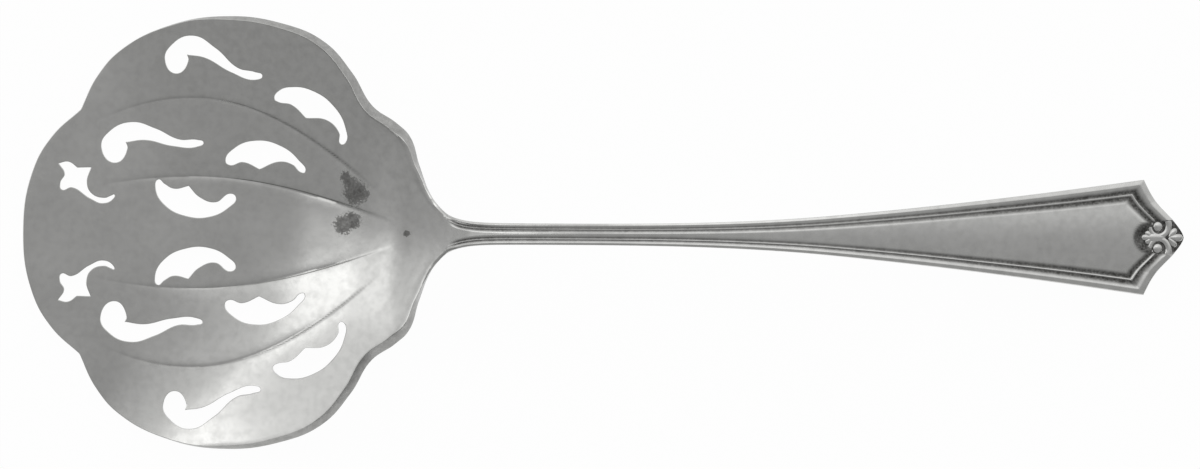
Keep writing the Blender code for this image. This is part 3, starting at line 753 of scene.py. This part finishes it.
def thickness_way(x):
    """Way in which the handle is thick: plumb at the neck, as the bowl's sheet is there, then square."""
    square = square_to_spine(x)
    plumb = Vector((0.0, 0.0, 1 / square.z))
    return plumb.lerp(square, ease((x - bowl_length) / waist_at))


def half_width(x):
    """Half the handle's width: a flare at the neck, a waist, then a taper to the shoulders."""
    waist = (bowl_length + waist_at, waist_width / 2, 0.0)
    shank = (bowl_length + shank_at, shank_width / 2, shank_taper)
    if x < waist[0]:
        return waist[1] + (neck_width - waist_width) / 2 * math.exp((bowl_length - x) / neck_flare)
    if x < shank[0]:
        return hermite(x, waist, shank)[0]
    return hermite(x, shank, (shoulder, end_width / 2, end_taper))[0]


def tip_offset(side):
    """How far the end edge lies beyond the shoulders, at a share of the half width."""
    inward = 1 - math.hypot(side, tip_round)
    span = end_edge[:2] if inward < end_edge[1][0] else end_edge[1:]
    return tip_length * hermite(inward, *span)[0]


def widened(x):
    """How far the handle has widened, from 0 at the waist to 1 at the shoulders."""
    past_waist = max(x, bowl_length + waist_at)
    return (half_width(past_waist) - waist_width / 2) / (end_width / 2 - waist_width / 2)


border_lines = 41
panel_lines = 19
border_shares = np.linspace(0.0, 1.0, border_lines)
panel_shares = np.linspace(1.0, 0.0, panel_lines)[1:]
upper_lines = [(1.0, share, 1.0) for share in border_shares]
upper_lines += [(1.0, 1.0, panel) for panel in panel_shares]
lower_lines = [(-1.0, share, panel) for _, share, panel in reversed(upper_lines[:-1])]
face_lines = upper_lines + lower_lines


def bowl_underside(x, y):
    """Height of the bowl's underside near the neck, which the tongue follows."""
    along = (x - dish_start) / dish_reach
    across = abs(y) / (bowl_width / 2)
    wall = math.cos(math.atan2(across, along) / wall_spread * quarter) ** wall_fade
    close = float(crease_close(x))
    lobe = min(abs(y) / max(close * inner_crease, hair), 1.0)
    dying = min(max(close - neck_close, 0.0) / neck_fade, 1.0)
    swell = flute_rise * middle_swell * close * dying * math.cos(lobe * quarter)
    return neck_rise * wall * dish_profile(math.hypot(along, across)) + swell


def face_height(x):
    """Height of the face above the spine: it carries on from the bowl's sheet, then thins to the tip."""
    waist = bowl_length + waist_at
    thinning = (end_face - waist_face) / (shoulder - waist)
    growth = 2 * (neck_gauge - front_gauge) / bowl_length
    neck_face = neck_gauge + growth * min(x - bowl_length, neck_straight)
    if x < neck_end:
        return neck_face
    if x < waist:
        return hermite(x, (neck_end, neck_face, growth), (waist, waist_face, thinning))[0]
    return waist_face + (x - waist) * thinning


def hollow(x, y):
    """Rise of the bowl's neck to both sides of the axis, which dies out along the stem."""
    rise = bowl_underside(bowl_length, y) - spine(bowl_length)[0]
    return rise * (1 - ease((x - bowl_length) / waist_at))


def scroll_ground(x, y):
    """How far the face is sunk, and how far it is dark, under the scrolls: 1 inside, 0 outside."""
    block = ease((x - tip_end + ground_length) / ground_soft)
    block *= 1 - ease((abs(y) - ground_half) / ground_soft)
    away = math.hypot(x - tip_end + halo_at, y) - halo_radius
    return max(block, 1 - ease(1 + away / halo_slope)), max(block, 1 - ease(away / ground_soft))


def face_section(x, end_share):
    """One station of the handle: its top row, back row and the tarnish on the top row."""
    width = half_width(x)
    wide = widened(x)
    waist = bowl_length + waist_at
    begun = ease((x - bowl_length) / border_fade)
    border = stem_border + (end_border - stem_border) * wide**border_growth
    relief = (stem_relief + (end_relief - stem_relief) * wide) * begun
    drop = neck_drop * (1 - begun)
    slant = math.cos(math.atan2(half_width(x + slant_step) - width, slant_step))
    turn = ease((x - shoulder + end_border + mitre_run) / (mitre_run - end_border))
    face = face_height(x)
    depths = (lap_gap + tongue_depth, waist_back, end_back)
    depth = np.interp(x, (bowl_length, waist, shoulder), depths)
    lap = np.interp(x, (bowl_length, waist), (lap_gap, 0.0))
    spots = (bowl_length, waist, bowl_length + shank_at, shoulder)
    soil = begun * np.interp(x, spots, (neck_dirt, stem_dirt, stem_dirt, end_dirt))
    top, back, darkening = [], [], []
    for side, share, panel in face_lines:
        y = side * (width - share * border) * panel
        at = x + turn * tip_offset(abs(y) / width)
        square = thickness_way(at)
        base = Vector((at, y, spine(at)[0] + hollow(x, y)))
        ground, dark = scroll_ground(at, y)
        share = min(share, end_share)
        height = (np.interp(share, *zip(*moulding)) - edge_bevel * (share == 0)) * (1 - ground)
        height -= ground_depth * ground
        crown = panel_crown * wide**2 * (1 - panel**2) * (1 - ground)
        fall = drop * max(1 - slant * (width - abs(y)) / drop_run, 0.0) ** 2
        top.append(base + square * (face + relief * height + crown - fall))
        rounding = back_round * (depth - lap) * (abs(y) / width) ** back_power
        back.append(base - square * (depth - rounding))
        cove = ease((cove_start - height) / cove_fall) * wide * (crown_share < share < thread_share)
        groove = ease((groove_start - height) / groove_fall) * ease((1 - share) / groove_fade)
        darkening.append(soil * max(cove, groove * (share > crown_share), dark))
    return top, back, darkening


def tongue_half_width(x):
    """Half the tongue's width: a round nose, then a taper to the neck."""
    nose = tongue_width / 2
    along = x - tongue_start
    if along < nose:
        return math.sqrt(max(nose**2 - (nose - along) ** 2, 0.0))
    return float(np.interp(along, (nose, tongue_length), (nose, neck_width / 2)))


def tongue_section(x):
    """One station of the tongue under the bowl's neck."""
    down = thickness_way(x)
    depth = float(np.interp(x, (tongue_start, bowl_length), (tongue_tip_depth, tongue_depth)))
    width = half_width(bowl_length)
    top, back = [], []
    for side, share, panel in face_lines:
        across = side * (width - share * stem_border) * panel / width
        y = across * tongue_half_width(x)
        seat = Vector((x, y, bowl_underside(x, y))) - down * lap_gap
        top.append(seat)
        back.append(seat - down * depth * (1 - back_round * across**back_power))
    return top, back, [0.0] * len(top)


def lofted(name, sections, finish):
    """Closed solid through stations that each hold a top row, a back row and the top's tarnish."""
    count = len(sections[0][0])
    points, darkening, faces = [], [], []
    for top, back, soil in sections:
        points += [*top, *reversed(back)]
        darkening += [*soil, *[0.0] * count]
    ring = 2 * count
    for station in range(len(sections) - 1):
        for line in range(ring):
            a, b = station * ring + line, station * ring + (line + 1) % ring
            faces.append((a, b, b + ring, a + ring))
    last = (len(sections) - 1) * ring
    for line in range(count - 1):
        a, b, c, d = line, line + 1, ring - 2 - line, ring - 1 - line
        faces += [(a, d, c, b), (last + a, last + b, last + c, last + d)]
    mesh = bpy.data.meshes.new(name)
    mesh.from_pydata(points, [], faces)
    store(mesh, "tarnish_and_shade", darkening)
    tidy = bmesh.new()
    tidy.from_mesh(mesh)
    bmesh.ops.recalc_face_normals(tidy, faces=tidy.faces[:])
    tidy.to_mesh(mesh)
    tidy.free()
    mesh.materials.append(finish)
    mesh.shade_smooth()
    mesh.set_sharp_from_angle(angle=handle_sharp)
    mesh.transform(Matrix.Translation((front_edge, 0.0, 0.0)))
    piece = bpy.data.objects.new(name, mesh)
    bpy.context.scene.collection.objects.link(piece)
    return piece


# Aged struck sterling: a shade lighter than the bowl where hands have rubbed it, and dark in the recesses.
handle_silver = aged_silver("aged_sterling_handle", "#cacac8")
flare_stations = 24
stem_stations = 150
panel_stations = 33
tongue_stations = 24
fine_run = 0.0080
nose_shares = (0.02, 0.1, 0.25, 0.45, 0.7, 1.0)
mitre_lean = math.hypot(1.0, tip_length / (end_width / 2))
end_stations = [(shoulder - share * tip_border * mitre_lean, share) for share in border_shares[::-1]]
panel_end = end_stations[0][0]
flare = np.linspace(bowl_length, bowl_length + border_fade, flare_stations)
stem = np.linspace(flare[-1], panel_end - fine_run, stem_stations)
fine = np.linspace(stem[-1], panel_end, panel_stations)
stations = [(x, 1.0) for x in (*flare, *stem[1:-1], *fine[:-1])] + end_stations
tongue = [tongue_start + tongue_width / 2 * share for share in nose_shares]
tongue += list(np.linspace(tongue[-1], bowl_length - seam_gap, tongue_stations)[1:])
sections = [tongue_section(x) for x in tongue] + [face_section(x, share) for x, share in stations]
handle = lofted("struck_handle", sections, handle_silver)
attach(handle, "root")
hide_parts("handle")

# Tip scrolls: the ornament that the die raises on the handle's end. The rim's crown curls into two scrolls,
# each round an eye, with a three-lobed leaf behind them and a small fan of three petals at the very tip.
scroll_sizes = {
    "Eye Across": 0.00187, "Eye Radius": 0.00084, "Scroll Start": 0.00212, "Scroll End": 0.00118,
    "Scroll Turn": math.radians(52), "Turns": 0.73, "Band Start": 0.00066, "Band End": 0.00030,
    "Flatness": 0.45, "Bridge": 0.00150,
    "Leaf At": -0.00115, "Leaf Size": 0.00090, "Leaf Spread": math.radians(47), "Leaf Width": 0.60,
    "Fan At": 0.00190, "Fan Size": 0.00130, "Fan Spread": math.radians(48), "Fan Width": 0.50,
}
scroll_from_tip = 0.0046
scroll_sink = 0.00012


def petal_row(tree, known, name, facing):
    """Three petals that spread from one root on the axis, the outer two smaller."""
    flare = 0.2
    height = 0.35
    shrink = -0.2
    size = known[f"{name} Size"]
    petal = add_node(tree, "GeometryNodeMeshUVSphere", {"Segments": 20, "Rings": 10, "Radius": size})
    spot = add_node(tree, "GeometryNodeInputPosition")
    parts = add_node(tree, "ShaderNodeSeparateXYZ", {"Vector": spot}).node.outputs
    widen = add_node(tree, "ShaderNodeMath", {0: parts["X"], 1: size}, operation="DIVIDE")
    widen = add_node(
        tree, "ShaderNodeMath", {0: widen, 1: flare, 2: known[f"{name} Width"]},
        operation="MULTIPLY_ADD")
    across = add_node(tree, "ShaderNodeMath", {0: parts["Y"], 1: widen}, operation="MULTIPLY")
    low = add_node(tree, "ShaderNodeMath", {0: parts["Z"], 1: height}, operation="MULTIPLY")
    wedge = add_node(tree, "ShaderNodeCombineXYZ", {"X": parts["X"], "Y": across, "Z": low})
    petal = add_node(tree, "GeometryNodeSetPosition", {"Geometry": petal, "Position": wedge})
    root = add_node(tree, "ShaderNodeCombineXYZ", {"X": size})
    petal = add_node(tree, "GeometryNodeTransform", {"Geometry": petal, "Translation": root})
    start = add_node(tree, "ShaderNodeCombineXYZ", {"X": known[f"{name} At"]})
    points = add_node(
        tree, "GeometryNodeMeshLine", {"Count": 3, "Start Location": start, "Offset": (0.0, 0.0, 0.0)})
    index = add_node(tree, "GeometryNodeInputIndex")
    aside = add_node(tree, "ShaderNodeMath", {0: index, 1: 1.0}, operation="SUBTRACT")
    swing = add_node(
        tree, "ShaderNodeMath", {0: aside, 1: known[f"{name} Spread"], 2: facing},
        operation="MULTIPLY_ADD")
    swing = add_node(tree, "ShaderNodeCombineXYZ", {"Z": swing})
    aside = add_node(tree, "ShaderNodeMath", {0: aside}, operation="ABSOLUTE")
    smaller = add_node(tree, "ShaderNodeMath", {0: aside, 1: shrink, 2: 1.0}, operation="MULTIPLY_ADD")
    return add_node(
        tree, "GeometryNodeInstanceOnPoints",
        {"Points": points, "Instance": petal, "Rotation": swing, "Scale": smaller})


def scroll_tree():
    """Tree that sweeps a flat band round each eye, mirrors it, and sets the leaf and the fan on the axis."""
    lead_run = 0.12
    lead_width = 0.5
    eye_shape = (1.0, 1.0, 0.4)
    bridge_shape = (1.3, 0.5, 0.2)
    mirror = (1.0, -1.0, 1.0)
    tree, known = geometry_tree("tip_scrolls", scroll_sizes)
    band = add_node(
        tree, "GeometryNodeCurveSpiral",
        {"Resolution": 64, "Rotations": known["Turns"], "Start Radius": known["Scroll Start"],
         "End Radius": known["Scroll End"], "Height": 0.0})
    along = add_node(tree, "GeometryNodeSplineParameter", out="Factor")
    width = add_node(
        tree, "ShaderNodeMapRange",
        {"Value": along, "To Min": known["Band Start"], "To Max": known["Band End"]})
    lead = add_node(
        tree, "ShaderNodeMapRange", {"Value": along, "From Max": lead_run, "To Min": lead_width})
    width = add_node(tree, "ShaderNodeMath", {0: width, 1: lead}, operation="MULTIPLY")
    band = add_node(tree, "GeometryNodeSetCurveNormal", {"Curve": band}, mode="Z_UP")
    ring = add_node(
        tree, "GeometryNodeCurvePrimitiveCircle", {"Resolution": 16, "Radius": 1.0}, mode="RADIUS")
    low = add_node(tree, "ShaderNodeCombineXYZ", {"X": 1.0, "Y": known["Flatness"], "Z": 1.0})
    ring = add_node(tree, "GeometryNodeTransform", {"Geometry": ring, "Scale": low})
    band = add_node(
        tree, "GeometryNodeCurveToMesh",
        {"Curve": band, "Profile Curve": ring, "Scale": width, "Fill Caps": True})
    turn = add_node(tree, "ShaderNodeCombineXYZ", {"Z": known["Scroll Turn"]})
    band = add_node(tree, "GeometryNodeTransform", {"Geometry": band, "Rotation": turn})
    ball = {"Segments": 28, "Rings": 14}
    eye = add_node(tree, "GeometryNodeMeshUVSphere", {**ball, "Radius": known["Eye Radius"]})
    eye = add_node(tree, "GeometryNodeTransform", {"Geometry": eye, "Scale": eye_shape})
    scroll = add_node(tree, "GeometryNodeJoinGeometry", {"Geometry": [band, eye]})
    across = add_node(tree, "ShaderNodeCombineXYZ", {"Y": known["Eye Across"]})
    upper = add_node(tree, "GeometryNodeTransform", {"Geometry": scroll, "Translation": across})
    lower = add_node(tree, "GeometryNodeTransform", {"Geometry": upper, "Scale": mirror})
    lower = add_node(tree, "GeometryNodeFlipFaces", {"Mesh": lower})
    bridge = add_node(tree, "GeometryNodeMeshUVSphere", {**ball, "Radius": known["Bridge"]})
    behind = add_node(tree, "ShaderNodeCombineXYZ", {"X": known["Leaf At"]})
    behind = add_node(tree, "ShaderNodeVectorMath", {0: behind, "Scale": 0.5}, operation="SCALE")
    bridge = add_node(
        tree, "GeometryNodeTransform",
        {"Geometry": bridge, "Translation": behind, "Scale": bridge_shape})
    leaf = petal_row(tree, known, "Leaf", math.pi)
    fan = petal_row(tree, known, "Fan", 0.0)
    whole = add_node(tree, "GeometryNodeJoinGeometry", {"Geometry": [upper, lower, bridge, leaf, fan]})
    solid = add_node(tree, "GeometryNodeSetShadeSmooth", {"Geometry": whole})
    finish_tree(tree, solid, known["Finish"])
    return tree


# Worn sterling: raised work is rubbed brightest.
scroll_silver = aged_silver("worn_sterling_scrolls", "#cdcdcb")
bare_mesh = bpy.data.meshes.new("tip_scrolls")
scrolls = shaped("tip_scrolls", bare_mesh, scroll_tree(), scroll_sizes, scroll_silver)
scroll_at = tip_end - scroll_from_tip
seat = Vector((front_edge + scroll_at, 0.0, spine(scroll_at)[0]))
seat += square_to_spine(scroll_at) * (end_face - scroll_sink)
scrolls.data.transform(
    Matrix.Translation(seat) @ Matrix.Rotation(-math.atan(spine(scroll_at)[1]), 4, "Y"))
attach(scrolls, "root")

# Solder seam: hard silver solder that was run into the lap between tongue and bowl. It shows only from
# below, as a thin fillet round the tongue's edge.
solder_bead = 0.00028

# Dull silver solder: it looks a little darker and yellower than the sheet.
solder_silver = aged_silver("dull_silver_solder", "#b2b1ac")


def bead_tree():
    """Tree that sweeps a round bead along a path, thinner towards its ends."""
    taper_run = 0.2
    end_share = 0.75
    tree, known = geometry_tree("solder_bead", {"Bead": solder_bead})
    path = add_node(tree, "GeometryNodeMeshToCurve", {"Mesh": known["Geometry"]})
    along = add_node(tree, "GeometryNodeSplineParameter", out="Factor")
    inner = add_node(tree, "ShaderNodeMath", {0: along, 1: 0.5}, operation="PINGPONG")
    taper = add_node(
        tree, "ShaderNodeMapRange", {"Value": inner, "From Max": taper_run, "To Min": end_share})
    ring = add_node(
        tree, "GeometryNodeCurvePrimitiveCircle", {"Resolution": 10, "Radius": known["Bead"]}, mode="RADIUS")
    bead = add_node(
        tree, "GeometryNodeCurveToMesh",
        {"Curve": path, "Profile Curve": ring, "Scale": taper, "Fill Caps": True})
    bead = add_node(tree, "GeometryNodeSetShadeSmooth", {"Geometry": bead})
    finish_tree(tree, bead, known["Finish"])
    return tree


def path_mesh(name, points):
    """Mesh of edges from point to point."""
    mesh = bpy.data.meshes.new(name)
    mesh.from_pydata(points, [(i, i + 1) for i in range(len(points) - 1)], [])
    return mesh


seam_path = []
for x in (*reversed(tongue), *tongue[1:]):
    side = 1.0 if len(seam_path) < len(tongue) else -1.0
    y = side * max(tongue_half_width(x) - solder_bead / 2, 0.0)
    seat = Vector((front_edge + x, y, bowl_underside(x, y)))
    seam_path.append(seat - thickness_way(x) * lap_gap / 2)
seam_mesh = path_mesh("solder_fillet", seam_path)
solder = shaped("solder_fillet", seam_mesh, bead_tree(), {"Bead": solder_bead}, solder_silver)
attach(solder, "root")
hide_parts("solder_seam")

# Table: a plain white matt sheet that the server lies on. Its surface is white paper, which shows a soft
# shadow and no sheen, and is pure white to the eye elsewhere.
table_size = 6.0
table_drop = 0.0003
white_share = 0.97
white = (1.0, 1.0, 1.0, 1.0)
bpy.ops.mesh.primitive_plane_add(size=table_size, location=(0.0, 0.0, -table_drop))
table = bpy.context.object
table.name = "table"
paper = bpy.data.materials.new("matt_white_paper")
paper.use_nodes = True
paper_tree = paper.node_tree
matt = paper_tree.nodes["Principled BSDF"]
matt.inputs["Base Color"].default_value = linear("#f4f4f4")
matt.inputs["Roughness"].default_value = 0.9
glow = add_node(paper_tree, "ShaderNodeEmission", {"Color": white, "Strength": 1.0})
rays = add_node(paper_tree, "ShaderNodeLightPath").node.outputs
seen = rays["Is Camera Ray"]
for ray in ("Is Glossy Ray", "Is Transmission Ray"):
    seen = add_node(paper_tree, "ShaderNodeMath", {0: seen, 1: rays[ray]}, operation="MAXIMUM")
seen = add_node(paper_tree, "ShaderNodeMath", {0: seen, 1: white_share}, operation="MULTIPLY")
surface = add_node(paper_tree, "ShaderNodeMixShader", {0: seen, 1: matt.outputs["BSDF"], 2: glow})
paper_tree.links.new(surface, paper_tree.nodes["Material Output"].inputs["Surface"])
table.data.materials.append(paper)

# Studio: a dim grey room that gets lighter overhead and to one side, as (axis, start, end, added light).
room_light = 0.07
room_steps = (
    ("Z", 0.0, 0.45, 0.34), ("Y", 0.01, 0.13, 0.32), ("Y", 0.14, 0.45, 0.28), ("X", 0.15, 0.60, 0.05),
    ("X", -0.80, -0.97, 0.18),
)
world = bpy.data.worlds.new("studio")
bpy.context.scene.world = world
world.use_nodes = True
sky = world.node_tree
way = add_node(sky, "ShaderNodeTexCoord", out="Generated")
way = add_node(sky, "ShaderNodeSeparateXYZ", {"Vector": way}).node.outputs
bright = room_light
for axis, start, end, gain in room_steps:
    step = add_node(
        sky, "ShaderNodeMapRange",
        {"Value": way[axis], "From Min": start, "From Max": end, "To Min": 0.0, "To Max": gain},
        interpolation_type="SMOOTHSTEP")
    bright = add_node(sky, "ShaderNodeMath", {0: bright, 1: step}, operation="ADD")
sky.nodes["Background"].inputs["Color"].default_value = white
sky.links.new(bright, sky.nodes["Background"].inputs["Strength"])

# Three soft lamps, as (name, width, height, watts, tilt about x, tilt about y), all aimed at the origin.
lamp_distance = 1.0
lamps = (
    ("window_light", 0.34, 0.32, 0.35, -10.5, -37), ("side_light", 0.45, 0.30, 0.26, -9.5, -57),
    ("fill_light", 0.70, 0.30, 0.25, -27, 16),
)
for name, width, height, power, tilt_x, tilt_y in lamps:
    lamp = bpy.data.lights.new(name, "AREA")
    lamp.shape = "RECTANGLE"
    lamp.size = width
    lamp.size_y = height
    lamp.energy = power
    light = bpy.data.objects.new(name, lamp)
    light.rotation_euler = (math.radians(tilt_x), math.radians(tilt_y), 0.0)
    light.location = light.rotation_euler.to_matrix() @ Vector((0.0, 0.0, lamp_distance))
    bpy.context.scene.collection.objects.link(light)

# Camera: straight above, with a long lens, turned by the small angle that the server lies at.
frame_width = 0.2038
frame_middle = 0.09797
frame_height = 0.001
frame_turn = 0.0054
camera_height = 2.0
sensor = 36.0
camera = bpy.data.objects.new("camera", bpy.data.cameras.new("camera"))
camera.data.sensor_width = sensor
camera.data.lens = sensor * (camera_height - frame_height) / frame_width
camera.location = (front_edge + frame_middle, 0.0, camera_height)
camera.rotation_euler = (0.0, 0.0, frame_turn)
bpy.context.scene.collection.objects.link(camera)
bpy.context.scene.camera = camera
bpy.context.scene.view_settings.view_transform = "Standard"
